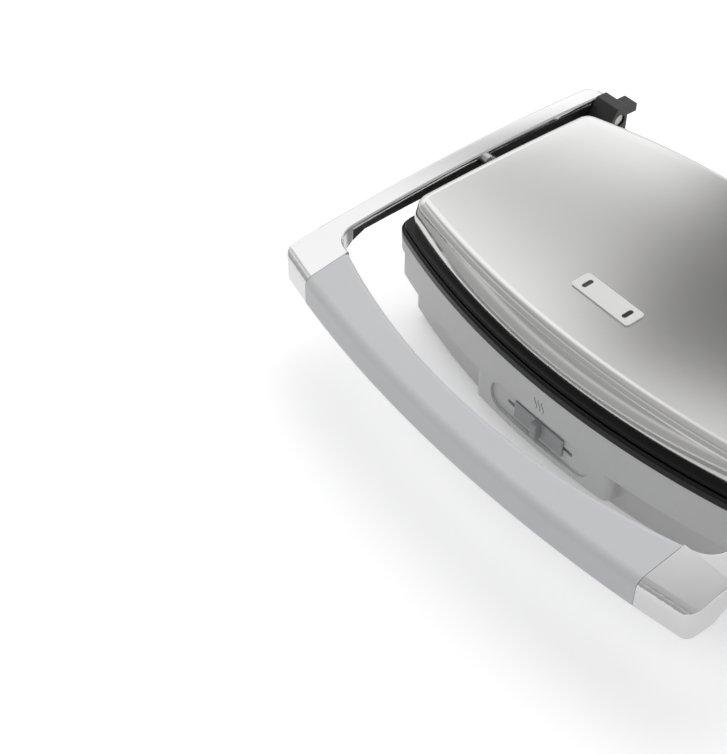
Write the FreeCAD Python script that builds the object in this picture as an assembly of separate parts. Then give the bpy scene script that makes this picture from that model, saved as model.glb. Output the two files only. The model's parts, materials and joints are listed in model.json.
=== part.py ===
# Sandwich maker: a contact press with a floating lid on a hinged loop handle.
# Millimetres, +Z up, +X to the right, front of the appliance towards -Y.
# The origin is on the table, below the middle of the whole object.

import FreeCAD
import Part
import math
import os

V = FreeCAD.Vector

# Lid and rim in plan
LID_WIDTH = 309.0
LID_DEPTH = 196.8
LID_FRONT_BOW = 742.0
LID_BACK_BOW = 475.0
LID_CORNER = 12.0
RIM_OVERHANG_FRONT = 15.1
RIM_OVERHANG_SIDE = 7.5
RIM_OVERHANG_BACK = 6.0
RIM_FRONT_BOW = 544.0
RIM_CORNER = 14.0
RIM_ROUND = 1.8
APRON_FLARE_FRONT = 7.1
APRON_FLARE_SIDE = 1.2
APRON_FRONT_BOW = 545.0
PLATE_INSET = 8.0
LEAST_CORNER = 1.0

# Handle in plan
ARM_GAP = 15.5
ARM_WIDTH = 16.3
ARM_CORNER = 9.0
ARM_INNER_FILLET = 16.0
ARM_BEHIND_BUSH = 0.7
BLOCK_WIDTH = 33.8
HAND_GAP = 44.9
GRIP_WIDTH = 25.7
GRIP_FRONT_BOW = 911.0
GRIP_INNER_BOW = 530.0
GRIP_SEAM = 0.3
GRIP_STATIONS = 6

# Heights
FOOT_HEIGHT = 6.0
BOTTOM_COVER_THICKNESS = 2.5
BASE_HEIGHT = 70.0
SKIRT_HEIGHT = 32.0
LIP_HEIGHT = 10.0
RIM_HEIGHT = 6.3
CLOSED_GAP = 0.4
FRAME_HEIGHT = 2.3
FRAME_ROUND = 1.2
WALL_HEIGHT = 15.1
APRON_STATIONS = 4
APRON_TURN = 1.8
LID_CROWN = 12.6
DOME_RADIUS = 2000.0
DOME_SETBACK = 76.5
ROLL_RADIUS = 8.0
HINGE_ABOVE_HOUSING = 19.2
ARM_HEIGHT = 15.2
ARM_MIDDLE_HEIGHT = 12.8
ARM_CROWN_HEIGHT = 8.4
ARM_FRONT_DROP = 8.4
ARM_MIDDLE_RISE = 5.0
ARM_REAR_RISE = 8.1
ARM_ARCH_START = 8.0
ARM_ARCH_END = 26.0
ARM_ARCH_BULGE = 2.0
GRIP_BELOW_HINGE = 37.2
GRIP_CREST = 23.5
GRIP_BROW = 19.3
GRIP_END_BROW = 22.0
GRIP_LEAN = 3.3
GRIP_FRONT_ROUND = 7.0
GRIP_INNER_ROUND = 4.0
GRIP_BOTTOM_ROUND = 2.5

# Wall thicknesses and steps
HOUSING_WALL = 2.5
LIP_INSET = 0.5
SKIRT_INSET = 2.5
LID_SHEET = 1.0
CREASE_STEP = 0.8
CREASE_NECK = 0.6
FRAME_INSET = 2.5
FRAME_SKIN = 0.6
ARM_SKIN = 1.5
ARM_TOP_SKIN = 3.4
HINGE_SKIN = 4.5
PAN_SHEET = 1.0
GRIP_WALL = 4.0
GRIP_CAVITY = 14.0
GRIP_COVER = 2.5

# Cooking plates and heaters
FLANGE_THICKNESS = 3.0
RIB_PITCH = 12.6
RIB_TOP_WIDTH = 4.0
RIB_FOOT_WIDTH = 6.0
RIB_HEIGHT = 3.0
ELEMENT_RADIUS = 3.2
ELEMENT_SPAN = 90.0
ELEMENT_MARGIN = 10.0
ELEMENT_PIN_RADIUS = 1.6
ELEMENT_PIN_LENGTH = 6.0
PAN_INSET = 8.0
LOWER_PAN_DEPTH = 15.0
UPPER_PAN_DEPTH = 10.0

# Hinge and pivots
HINGE_SETBACK = 2.1
HINGE_PIN_RADIUS = 2.8
HINGE_BUSH_RADIUS = 3.8
HINGE_HEAD_RADIUS = 4.2
HINGE_HOLE_RADIUS = 4.8
HINGE_HOLE_DEPTH = 3.5
HINGE_HEAD_HEIGHT = 2.2
BRACKET_WIDTH = 22.1
BRACKET_FRONT = 16.0
BRACKET_BACK = 7.0
BRACKET_TOP = 10.3
BRACKET_BROW = 3.0
BRACKET_SLOPE_FOOT = 10.0
BRACKET_SEAT_DROP = 8.0
BRACKET_ROUND = 1.5
BRACKET_SCREW_PITCH = 12.0
BRACKET_SCREW_BITE = 8.0
TAB_REACH = 16.6
TAB_WIDTH = 12.5
TAB_TOP = 8.8
TAB_BOTTOM = 2.6
EAR_HEIGHT = 18.0
EAR_FOOT = 46.0
PIVOT_FORWARD = 6.5
PIVOT_ABOVE_FLANGE = 7.0
PIVOT_PIN_RADIUS = 3.2
PIVOT_COLLAR_RADIUS = 5.0
PIVOT_COLLAR_LENGTH = 6.0
CARRIER_THICKNESS = 3.0
CARRIER_LENGTH = 26.0
CARRIER_FOOT = 8.0
CARRIER_FOOT_LENGTH = 6.0
CARRIER_FOOT_THICKNESS = 1.5
CARRIER_CROWN = 2.0

# Slide control
CONTROL_X = 9.0
CONTROL_DROP = 38.0
FASCIA_WIDTH = 90.0
FASCIA_HEIGHT = 22.0
FASCIA_DEPTH = 4.6
FASCIA_SHEET = 1.5
POD_SIDE = 16.0
POD_BELOW = 5.0
POD_ROUND = 6.0
SLOT_LENGTH = 60.0
SLOT_HEIGHT = 3.0
CARRIAGE_WIDTH = 44.0
CARRIAGE_HEIGHT = 13.0
CARRIAGE_THICKNESS = 1.4
FINGER_WIDTH = 5.0
FINGER_REACH = 6.5
FINGER_ROUND = 1.2
STEM_WIDTH = 8.0
STEM_REACH = 4.0
SWITCH_WIDTH = 46.0
SWITCH_HEIGHT = 14.0
SWITCH_DEPTH = 12.0
SWITCH_WALL = 2.5
SWITCH_TRACK = 6.0

# Indicator window
BEZEL_WIDTH = 49.6
BEZEL_LENGTH = 15.4
BEZEL_FROM_FRONT = 37.6
BEZEL_PROUD = 1.0
BEZEL_CORNER = 2.5
BEZEL_MARGIN = 2.0
BEZEL_DEPTH = 5.2
LENS_SPACING = 35.0
LENS_LENGTH = 8.6
LENS_WIDTH = 3.4
LENS_RECESS = 0.3
LAMP_BOARD = 1.6
LAMP_RADIUS = 1.2
LAMP_HEIGHT = 2.0

# Fasteners, feet and small parts
FOOT_RADIUS = 9.0
FOOT_TAPER = 1.5
FOOT_FROM_SIDE = 35.0
FOOT_FROM_EDGE = 26.0
VENT_COUNT = 9
VENT_LENGTH = 40.0
VENT_WIDTH = 3.0
VENT_PITCH = 9.0
SCREW_RADIUS = 1.7
SCREW_HEAD_RADIUS = 3.2
SCREW_HEAD_HEIGHT = 2.2
SCREW_SKIN = 1.5
SCREW_FROM_SIDE = 50.0
BOSS_RADIUS = 3.6
BOSS_HEIGHT = 18.0
SPINE_WIDTH = 8.0
SPINE_HEIGHT = 5.0
SPINE_SOCKET = 14.0
GRIP_SCREW_SPREAD = 100.0
GLAND_RADIUS = 7.0
GLAND_FLANGE_RADIUS = 9.5
GLAND_BORE = 4.2
GLAND_FLANGE = 2.0
GLAND_LENGTH = 8.0
THERMOSTAT_RADIUS = 9.0
THERMOSTAT_HEIGHT = 7.0
THERMOSTAT_TAB_LENGTH = 6.0
THERMOSTAT_TAB_WIDTH = 6.0
THERMOSTAT_TAB_DROP = 3.5
FUSE_RADIUS = 2.2
FUSE_LENGTH = 14.0
FUSE_LEAD_RADIUS = 0.6
FUSE_LEAD_LENGTH = 14.0
FUSE_OFFSET = 40.0
TERMINAL_WIDTH = 32.0
TERMINAL_DEPTH = 18.0
TERMINAL_HEIGHT = 14.0
TERMINAL_POLES = 3
TERMINAL_BORE = 2.6

# Clearances
RUNNING = 0.05
FIT = 0.15
LOOSE = 0.5
SIDE_PLAY = 0.4
OVERCUT = 5.0
TOUCH = 0.001

# Stations worked out from the sizes above
FRONT_REACH = LID_DEPTH / 2 + RIM_OVERHANG_FRONT + HAND_GAP + GRIP_WIDTH
REAR_REACH = LID_DEPTH / 2 + HINGE_SETBACK + TAB_REACH
LID_CENTRE = (FRONT_REACH - REAR_REACH) / 2
LID_FRONT = LID_CENTRE - LID_DEPTH / 2
LID_BACK = LID_CENTRE + LID_DEPTH / 2
RIM_FRONT = LID_FRONT - RIM_OVERHANG_FRONT
RIM_BACK = LID_BACK + RIM_OVERHANG_BACK
GRIP_INNER = RIM_FRONT - HAND_GAP
GRIP_FRONT = GRIP_INNER - GRIP_WIDTH
HINGE_Y = LID_BACK + HINGE_SETBACK
HINGE_Z = BASE_HEIGHT + HINGE_ABOVE_HOUSING
SKIRT_Z = BASE_HEIGHT - SKIRT_HEIGHT
HOUSING_Z = FOOT_HEIGHT + BOTTOM_COVER_THICKNESS
RIM_TOP = BASE_HEIGHT + RIM_HEIGHT
FRAME_Z = RIM_TOP + CLOSED_GAP
WALL_Z = FRAME_Z + FRAME_HEIGHT
CREASE_Z = WALL_Z + WALL_HEIGHT
LID_TOP = CREASE_Z + LID_CROWN
DOME_Y = LID_CENTRE + DOME_SETBACK
LOWER_FLANGE_Z = BASE_HEIGHT - FLANGE_THICKNESS
UPPER_FLANGE_Z = WALL_Z + FLANGE_THICKNESS
LOWER_PAN_FLOOR = LOWER_FLANGE_Z - LOWER_PAN_DEPTH
UPPER_PAN_FLOOR = UPPER_FLANGE_Z + UPPER_PAN_DEPTH
PIVOT_Y = LID_CENTRE - PIVOT_FORWARD
PIVOT_Z = UPPER_FLANGE_Z + PIVOT_ABOVE_FLANGE
ARM_INNER = LID_WIDTH / 2 + ARM_GAP
ARM_OUTER = ARM_INNER + ARM_WIDTH
ARM_REAR = HINGE_Y + HINGE_BUSH_RADIUS + ARM_BEHIND_BUSH + ARM_SKIN
BRACKET_SEAT = BASE_HEIGHT - BRACKET_SEAT_DROP
BRACKET_OUTER = ARM_INNER - SIDE_PLAY
BRACKET_INNER = BRACKET_OUTER - BRACKET_WIDTH
GRIP_BOTTOM = HINGE_Z - GRIP_BELOW_HINGE
GRIP_END = ARM_OUTER - BLOCK_WIDTH
CONTROL_Z = BASE_HEIGHT - CONTROL_DROP
POD_LOW = CONTROL_Z - FASCIA_HEIGHT / 2 - POD_BELOW
RIM_SCREW_INSET = SKIRT_INSET + HOUSING_WALL + LOOSE + BOSS_RADIUS
TUB_INSET = RIM_SCREW_INSET + SCREW_HEAD_RADIUS + LOOSE
PLATE_SCREW_INSET = CREASE_STEP + LID_SHEET + SCREW_HEAD_RADIUS + FIT
CARRIER_OUTER = LID_WIDTH / 2 - CREASE_STEP - LID_SHEET - FIT
GLAND_Z = (HOUSING_Z + SKIRT_Z) / 2
BEZEL_Y = LID_FRONT + BEZEL_FROM_FRONT + BEZEL_LENGTH / 2
LENS_PLACES = (-LENS_SPACING / 2, LENS_SPACING / 2)


# Drawing helpers

def bow_depth(radius, reach):
    """How far an arc of this radius falls back at a distance from its middle."""
    return radius - math.sqrt(radius * radius - reach * reach)


def is_upright(edge):
    extent = edge.BoundBox
    return extent.XLength < TOUCH and extent.YLength < TOUCH


def box(low, high):
    return Part.makeBox(high[0] - low[0], high[1] - low[1], high[2] - low[2], V(*low))


def rod(radius, start, end):
    along = V(*end) - V(*start)
    return Part.makeCylinder(radius, along.Length, V(*start), along)


def mirrored(shape):
    return shape.mirror(V(0, 0, 0), V(1, 0, 0))


def rounded_wire(corners, place):
    """Closed outline through (u, v, radius) corners; place turns (u, v) into a point."""
    count = len(corners)
    starts = []
    middles = []
    ends = []
    for i in range(count):
        here = V(corners[i][0], corners[i][1], 0)
        radius = corners[i][2]
        following = corners[(i + 1) % count]
        before = V(corners[i - 1][0], corners[i - 1][1], 0) - here
        after = V(following[0], following[1], 0) - here
        before.normalize()
        after.normalize()
        half = before.getAngle(after) / 2
        bisector = before + after
        bisector.normalize()
        starts.append(here + before * (radius / math.tan(half)))
        middles.append(here + bisector * (radius / math.sin(half) - radius))
        ends.append(here + after * (radius / math.tan(half)))
    edges = []
    for i in range(count):
        if corners[i][2] > 0:
            arc = Part.Arc(*[place(p.x, p.y) for p in (starts[i], middles[i], ends[i])])
            edges.append(arc.toShape())
        goal = starts[(i + 1) % count]
        edges.append(Part.makeLine(place(ends[i].x, ends[i].y), place(goal.x, goal.y)))
    return Part.Wire(edges)


def plan_prism(corners, low, high):
    wire = rounded_wire(corners, lambda u, v: V(u, v, low))
    return Part.Face(wire).extrude(V(0, 0, high - low))


def side_prism(edges, start, end):
    """Closed side view in the plane x = 0, drawn out between two X stations."""
    solid = Part.Face(Part.Wire(edges)).extrude(V(end - start, 0, 0))
    solid.translate(V(start, 0, 0))
    return solid


def stadium(width, height, x, z, front, back):
    """Upright stadium plate, lying along X, between two Y stations."""
    half = width / 2 - height / 2
    core = box((x - half, front, z - height / 2), (x + half, back, z + height / 2))
    left = rod(height / 2, (x - half, front, z), (x - half, back, z))
    right = rod(height / 2, (x + half, front, z), (x + half, back, z))
    return core.fuse([left, right]).removeSplitter()


def bowed_strip(half_length, front, front_bow, back, back_bow, low, high):
    """Flat strip along X whose two long edges bow towards the front."""
    w = half_length
    front_end = front + bow_depth(front_bow, w)
    back_end = back + bow_depth(back_bow, w)
    near = Part.Arc(V(-w, front_end, low), V(0, front, low), V(w, front_end, low))
    far = Part.Arc(V(w, back_end, low), V(0, back, low), V(-w, back_end, low))
    right = Part.makeLine(V(w, front_end, low), V(w, back_end, low))
    left = Part.makeLine(V(-w, back_end, low), V(-w, front_end, low))
    wire = Part.Wire([near.toShape(), right, far.toShape(), left])
    return Part.Face(wire).extrude(V(0, 0, high - low))


class Outline:
    """Plan shape with straight sides, a front and a back that bow outwards, and round corners."""

    def __init__(self, half_width, front, front_bow, back, back_bow, corner):
        self.half_width = half_width
        self.front = front
        self.front_bow = front_bow
        self.back = back
        self.back_bow = back_bow
        self.corner = corner

    def inset(self, step):
        corner = max(self.corner - step, LEAST_CORNER)
        return Outline(self.half_width - step, self.front + step, self.front_bow - step,
                       self.back - step, self.back_bow - step, corner)

    def towards(self, other, share):
        """Outline that lies at a share of the way from this one to another."""
        start = vars(self)
        goal = vars(other)
        return Outline(**{size: start[size] + (goal[size] - start[size]) * share for size in start})

    def front_at(self, x):
        return self.front + bow_depth(self.front_bow, x)

    def back_at(self, x):
        return self.back - bow_depth(self.back_bow, x)

    def prism(self, low, high):
        w = self.half_width
        front_corner = self.front_at(w)
        back_corner = self.back_at(w)
        front = Part.Arc(V(-w, front_corner, low), V(0, self.front, low), V(w, front_corner, low))
        back = Part.Arc(V(w, back_corner, low), V(0, self.back, low), V(-w, back_corner, low))
        right = Part.makeLine(V(w, front_corner, low), V(w, back_corner, low))
        left = Part.makeLine(V(-w, back_corner, low), V(-w, front_corner, low))
        wire = Part.Wire([front.toShape(), right, back.toShape(), left])
        solid = Part.Face(wire).extrude(V(0, 0, high - low))
        return solid.makeFillet(self.corner, [e for e in solid.Edges if is_upright(e)])

    def rounded_prism(self, low, high, radius):
        solid = self.prism(low, high)
        return solid.makeFillet(radius, [e for e in solid.Edges if e.BoundBox.ZMin > high - TOUCH])

    def wire(self, z):
        faces = self.prism(z, z + OVERCUT).Faces
        return [face for face in faces if face.BoundBox.ZMax < z + TOUCH][0].OuterWire


LID = Outline(LID_WIDTH / 2, LID_FRONT, LID_FRONT_BOW, LID_BACK, LID_BACK_BOW, LID_CORNER)
APRON = Outline(LID_WIDTH / 2 + APRON_FLARE_SIDE, LID_FRONT - APRON_FLARE_FRONT, APRON_FRONT_BOW,
                LID_BACK + APRON_FLARE_SIDE, LID_BACK_BOW + APRON_FLARE_SIDE, LID_CORNER)
RIM = Outline(LID_WIDTH / 2 + RIM_OVERHANG_SIDE, RIM_FRONT, RIM_FRONT_BOW,
              RIM_BACK, LID_BACK_BOW + RIM_OVERHANG_BACK, RIM_CORNER)
PLATE = LID.inset(PLATE_INSET)
PLATE_WINDOW = PLATE.inset(-LOOSE)
SKIRT = RIM.inset(SKIRT_INSET)
TUB = RIM.inset(TUB_INSET)


# Fasteners

class Screw:
    """Upright screw at one place; its head starts at head and its shank ends at tip."""

    def __init__(self, place, head, tip):
        self.x, self.y = place
        self.head = head
        self.tip = tip
        self.way = 1 if tip > head else -1

    def along(self, radius, start, end):
        return rod(radius, (self.x, self.y, start), (self.x, self.y, end))

    def solid(self):
        cap = self.along(SCREW_HEAD_RADIUS, self.head, self.head + self.way * SCREW_HEAD_HEIGHT)
        return cap.fuse(self.along(SCREW_RADIUS, self.head, self.tip)).removeSplitter()

    def room(self):
        """Head pocket and bore that the screw needs in the pieces it joins."""
        top = self.head + self.way * SCREW_HEAD_HEIGHT
        pocket = self.along(SCREW_HEAD_RADIUS + FIT, self.head - self.way * OVERCUT, top)
        return pocket.fuse(self.along(SCREW_RADIUS + FIT, self.head, self.tip + self.way * FIT))


def corner_places(outline, step, from_side):
    """Four places at a distance inside an outline's front and back edges."""
    inner = outline.inset(step)
    places = []
    for x in (from_side - outline.half_width, outline.half_width - from_side):
        places.append((x, inner.front_at(x)))
        places.append((x, inner.back_at(x)))
    return places


def side_places(outline, step):
    x = outline.half_width - step
    return [(-x, LID_CENTRE), (x, LID_CENTRE)]


def screws(places, head, tip):
    return [Screw(place, head, tip) for place in places]


def screw_group(group):
    return Part.makeCompound([one.solid() for one in group])


def screw_rooms(group):
    return [one.room() for one in group]


RIM_SCREWS = screws(corner_places(RIM, RIM_SCREW_INSET, SCREW_FROM_SIDE) + side_places(RIM, RIM_SCREW_INSET),
                    SKIRT_Z, RIM_TOP - SCREW_SKIN)
COVER_SCREWS = screws(corner_places(TUB, HOUSING_WALL + BOSS_RADIUS - FIT, SCREW_FROM_SIDE),
                      FOOT_HEIGHT, HOUSING_Z + BOSS_HEIGHT - SCREW_SKIN)
PLATE_SCREWS = screws(corner_places(LID, PLATE_SCREW_INSET, SCREW_FROM_SIDE),
                      UPPER_FLANGE_Z + SCREW_HEAD_HEIGHT, FRAME_Z + FRAME_SKIN)


def bracket_screws():
    """The two screws of the left hinge bracket."""
    x = -(BRACKET_INNER + BRACKET_OUTER) / 2
    rear = HINGE_Y + BRACKET_BACK / 2
    places = [(x, rear), (x, rear - BRACKET_SCREW_PITCH)]
    return screws(places, BRACKET_SEAT - EAR_HEIGHT, BRACKET_SEAT + BRACKET_SCREW_BITE)


# Base

CONTROL_FRONT = SKIRT.front_at(CONTROL_X)
CONTROL_FLOOR = CONTROL_FRONT + FASCIA_DEPTH
SWITCH_FRONT = CONTROL_FLOOR + HOUSING_WALL


def pod(step, top):
    """Control pod below the skirt, up to top, every face moved inwards by step."""
    half = FASCIA_WIDTH / 2 + POD_SIDE - step
    low = POD_LOW + step
    reach = TUB.front + HOUSING_WALL + OVERCUT
    span = box((CONTROL_X - half, RIM_FRONT, low), (CONTROL_X + half, reach, top))
    block = SKIRT.inset(step).prism(low, top).common(span)
    ends = [e for e in block.Edges if is_upright(e) and e.CenterOfMass.y < reach - OVERCUT]
    return block.makeFillet(POD_ROUND - step, ends)


def ear():
    """Left rear corner of the housing, which carries the hinge bracket."""
    back = HINGE_Y + BRACKET_BACK
    corners = [(-BRACKET_INNER, back, 0), (-BRACKET_OUTER, back, 0),
               (-BRACKET_OUTER, HINGE_Y - BRACKET_FRONT, 0),
               (-SKIRT.half_width + HOUSING_WALL, back - EAR_FOOT, 0), (-BRACKET_INNER, back - EAR_FOOT, 0)]
    return plan_prism(corners, BRACKET_SEAT - EAR_HEIGHT, BRACKET_SEAT)


def housing_outside():
    lip_z = BASE_HEIGHT - LIP_HEIGHT
    lip = RIM.inset(LIP_INSET).prism(lip_z, BASE_HEIGHT)
    skirt = SKIRT.prism(SKIRT_Z, lip_z)
    tub = TUB.prism(HOUSING_Z, SKIRT_Z)
    return lip.fuse([skirt, tub, pod(0, SKIRT_Z), ear(), mirrored(ear())])


def housing_inside():
    shelf = SKIRT_Z + HOUSING_WALL
    upper = SKIRT.inset(HOUSING_WALL).prism(shelf, BASE_HEIGHT + OVERCUT)
    lower = TUB.inset(HOUSING_WALL).prism(HOUSING_Z - OVERCUT, shelf + OVERCUT)
    return upper.fuse([lower, pod(HOUSING_WALL, shelf + OVERCUT)])


def housing_bosses():
    bosses = [one.along(BOSS_RADIUS, SKIRT_Z, LOWER_FLANGE_Z) for one in RIM_SCREWS]
    return bosses + [one.along(BOSS_RADIUS, HOUSING_Z, HOUSING_Z + BOSS_HEIGHT) for one in COVER_SCREWS]


def control_slot():
    return stadium(SLOT_LENGTH, SLOT_HEIGHT, CONTROL_X, CONTROL_Z, CONTROL_FRONT, SWITCH_FRONT + OVERCUT)


def base_housing():
    outside = housing_outside()
    shell = outside.cut(housing_inside())
    margin = HOUSING_WALL * 2
    pad = stadium(FASCIA_WIDTH + margin, FASCIA_HEIGHT + margin, CONTROL_X, CONTROL_Z,
                  CONTROL_FRONT, SWITCH_FRONT)
    shell = shell.fuse([pad.common(outside)] + housing_bosses())
    recess = stadium(FASCIA_WIDTH, FASCIA_HEIGHT, CONTROL_X, CONTROL_Z,
                     CONTROL_FRONT - OVERCUT, CONTROL_FLOOR)
    gland_hole = rod(GLAND_RADIUS + FIT, (0, TUB.back - OVERCUT, GLAND_Z), (0, TUB.back + OVERCUT, GLAND_Z))
    rooms = screw_rooms(RIM_SCREWS + COVER_SCREWS)
    for room in screw_rooms(bracket_screws()):
        rooms += [room, mirrored(room)]
    return shell.cut(rooms + [recess, control_slot(), gland_hole]).removeSplitter()


def base_rim():
    ring = RIM.rounded_prism(BASE_HEIGHT, RIM_TOP, RIM_ROUND)
    window = PLATE_WINDOW.prism(BASE_HEIGHT - OVERCUT, RIM_TOP + OVERCUT)
    return ring.cut([window] + screw_rooms(RIM_SCREWS))


def bottom_cover():
    plate = TUB.prism(FOOT_HEIGHT, HOUSING_Z)
    vents = []
    for i in range(VENT_COUNT):
        x = (i - (VENT_COUNT - 1) / 2) * VENT_PITCH
        vents.append(box((x - VENT_WIDTH / 2, LID_CENTRE - VENT_LENGTH / 2, FOOT_HEIGHT - OVERCUT),
                         (x + VENT_WIDTH / 2, LID_CENTRE + VENT_LENGTH / 2, HOUSING_Z + OVERCUT)))
    return plate.cut(vents + screw_rooms(COVER_SCREWS))


def rubber_feet():
    feet = []
    for x, y in corner_places(TUB, FOOT_FROM_EDGE, FOOT_FROM_SIDE):
        sole = V(x, y, 0)
        feet.append(Part.makeCone(FOOT_RADIUS - FOOT_TAPER, FOOT_RADIUS, FOOT_HEIGHT, sole, V(0, 0, 1)))
    return Part.makeCompound(feet)


def base_rim_screws():
    return screw_group(RIM_SCREWS)


def bottom_cover_screws():
    return screw_group(COVER_SCREWS)


def hinge_rod(radius, start, end):
    return rod(radius, (start, HINGE_Y, HINGE_Z), (end, HINGE_Y, HINGE_Z))


def hinge_bracket():
    """Left bracket: block with a slanted front, a rear tab and a sunk bore for the hinge pin."""
    back = HINGE_Y + BRACKET_BACK
    front = HINGE_Y - BRACKET_FRONT
    brow = HINGE_Y - BRACKET_BROW
    top = HINGE_Z + BRACKET_TOP
    corners = [(back, BRACKET_SEAT, 0), (back, top, BRACKET_ROUND), (brow, top, BRACKET_ROUND),
               (front, HINGE_Z - BRACKET_SLOPE_FOOT, 0), (front, BRACKET_SEAT, 0)]
    wire = rounded_wire(corners, lambda y, z: V(-BRACKET_OUTER, y, z))
    block = Part.Face(wire).extrude(V(BRACKET_WIDTH, 0, 0))
    tip = HINGE_Y + TAB_REACH
    tab = box((-BRACKET_INNER - TAB_WIDTH, HINGE_Y, HINGE_Z + TAB_BOTTOM),
              (-BRACKET_INNER, tip, HINGE_Z + TAB_TOP))
    tab = tab.makeFillet(BRACKET_ROUND, [e for e in tab.Edges if e.BoundBox.YMin > tip - TOUCH])
    bore = hinge_rod(HINGE_PIN_RADIUS + RUNNING, -ARM_OUTER, -BRACKET_INNER)
    pocket = hinge_rod(HINGE_HOLE_RADIUS, -BRACKET_INNER - HINGE_HOLE_DEPTH, 0)
    return block.fuse(tab).cut([bore, pocket] + screw_rooms(bracket_screws())).removeSplitter()


def hinge_bracket_screws():
    left = [one.solid() for one in bracket_screws()]
    return Part.makeCompound(left + [mirrored(solid) for solid in left])


def hinge_pin():
    """Left hinge pin: its head sits in the bracket and its shank carries the arm."""
    seat = -BRACKET_INNER - HINGE_HOLE_DEPTH
    head = hinge_rod(HINGE_HEAD_RADIUS, seat, seat + HINGE_HEAD_HEIGHT)
    shank = hinge_rod(HINGE_PIN_RADIUS, seat, -ARM_OUTER + HINGE_SKIN + LOOSE)
    return head.fuse(shank).removeSplitter()


def cord_gland():
    outer = TUB.back + GLAND_FLANGE
    inner = TUB.back - GLAND_LENGTH
    body = rod(GLAND_RADIUS, (0, outer, GLAND_Z), (0, inner, GLAND_Z))
    flange = rod(GLAND_FLANGE_RADIUS, (0, outer, GLAND_Z), (0, TUB.back, GLAND_Z))
    bore = rod(GLAND_BORE, (0, outer, GLAND_Z), (0, inner, GLAND_Z))
    return body.fuse(flange).cut(bore).removeSplitter()


# Slide control

def control_fascia():
    panel = stadium(FASCIA_WIDTH - FIT * 2, FASCIA_HEIGHT - FIT * 2, CONTROL_X, CONTROL_Z,
                    CONTROL_FLOOR - FASCIA_SHEET, CONTROL_FLOOR)
    return panel.cut(control_slot())


def control_block(width, height, front, back):
    """Box centred on the control, between two Y stations."""
    return box((CONTROL_X - width / 2, front, CONTROL_Z - height / 2),
               (CONTROL_X + width / 2, back, CONTROL_Z + height / 2))


def slider_knob():
    face = CONTROL_FLOOR - FASCIA_SHEET - FIT
    tip = face - FINGER_REACH
    carriage = control_block(CARRIAGE_WIDTH, CARRIAGE_HEIGHT, face - CARRIAGE_THICKNESS, face)
    finger = control_block(FINGER_WIDTH, CARRIAGE_HEIGHT, tip, face)
    finger = finger.makeFillet(FINGER_ROUND, [e for e in finger.Edges if e.BoundBox.YMax < tip + TOUCH])
    stem = control_block(STEM_WIDTH, SLOT_HEIGHT - FIT * 2, face, SWITCH_FRONT + STEM_REACH)
    return carriage.fuse([finger, stem]).removeSplitter()


def slide_switch():
    body = control_block(SWITCH_WIDTH, SWITCH_HEIGHT, SWITCH_FRONT, SWITCH_FRONT + SWITCH_DEPTH)
    track_width = SWITCH_WIDTH - SWITCH_WALL * 2
    track = control_block(track_width, SLOT_HEIGHT, SWITCH_FRONT, SWITCH_FRONT + SWITCH_TRACK)
    return body.cut(track)


# Cooking plates and heaters

def ribbed_slab(back, valley, crest):
    """Plate with ribs from front to back, between its flat back face and the rib crests."""
    y = PLATE.front
    far = PLATE.half_width + OVERCUT
    count = int((PLATE.half_width - RIB_FOOT_WIDTH) / RIB_PITCH)
    points = [V(-far, y, back), V(-far, y, valley)]
    for i in range(-count, count + 1):
        x = i * RIB_PITCH
        points.append(V(x - RIB_FOOT_WIDTH / 2, y, valley))
        points.append(V(x - RIB_TOP_WIDTH / 2, y, crest))
        points.append(V(x + RIB_TOP_WIDTH / 2, y, crest))
        points.append(V(x + RIB_FOOT_WIDTH / 2, y, valley))
    points += [V(far, y, valley), V(far, y, back)]
    comb = Part.Face(Part.makePolygon(points + points[:1])).extrude(V(0, PLATE.back - PLATE.front, 0))
    return comb.common(PLATE.prism(min(back, crest), max(back, crest)))


def lower_cooking_plate():
    slab = ribbed_slab(LOWER_FLANGE_Z, RIM_TOP - RIB_HEIGHT, RIM_TOP)
    flange = RIM.inset(SKIRT_INSET + HOUSING_WALL + LOOSE).prism(LOWER_FLANGE_Z, BASE_HEIGHT)
    return slab.fuse(flange).cut(screw_rooms(RIM_SCREWS)).removeSplitter()


def upper_cooking_plate():
    slab = ribbed_slab(UPPER_FLANGE_Z, FRAME_Z + RIB_HEIGHT, FRAME_Z)
    flange = LID.inset(CREASE_STEP + LID_SHEET + LOOSE).prism(WALL_Z, UPPER_FLANGE_Z)
    return slab.fuse(flange).cut(screw_rooms(PLATE_SCREWS)).removeSplitter()


def heating_element(z):
    """Sheathed heater bent into a U, lying flat at height z, with a cold pin at each end."""
    half = ELEMENT_SPAN / 2
    end = PLATE.half_width - PAN_INSET - PAN_SHEET - ELEMENT_MARGIN - ELEMENT_RADIUS - half
    near = LID_CENTRE - half
    far = LID_CENTRE + half
    turn = Part.Arc(V(-end, near, z), V(-end - half, LID_CENTRE, z), V(-end, far, z))
    path = Part.Wire([Part.makeLine(V(end, near, z), V(-end, near, z)), turn.toShape(),
                      Part.makeLine(V(-end, far, z), V(end, far, z))])
    section = Part.Wire(Part.makeCircle(ELEMENT_RADIUS, V(end, near, z), V(1, 0, 0)))
    tube = path.makePipeShell([section], True, False)
    pins = [rod(ELEMENT_PIN_RADIUS, (end, y, z), (end + ELEMENT_PIN_LENGTH, y, z)) for y in (near, far)]
    return tube.fuse(pins)


def lower_heating_element():
    return heating_element(LOWER_FLANGE_Z - FIT - ELEMENT_RADIUS)


def upper_heating_element():
    return heating_element(UPPER_FLANGE_Z + FIT + ELEMENT_RADIUS)


def heat_pan(rim, floor):
    """Sheet pan whose edge meets a plate at rim and whose bottom lies at floor."""
    way = 1 if rim > floor else -1
    inside = sorted((rim, floor + way * PAN_SHEET))
    room = PLATE.inset(PAN_INSET + PAN_SHEET).prism(inside[0], inside[1])
    return PLATE.inset(PAN_INSET).prism(min(rim, floor), max(rim, floor)).cut(room)


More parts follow.
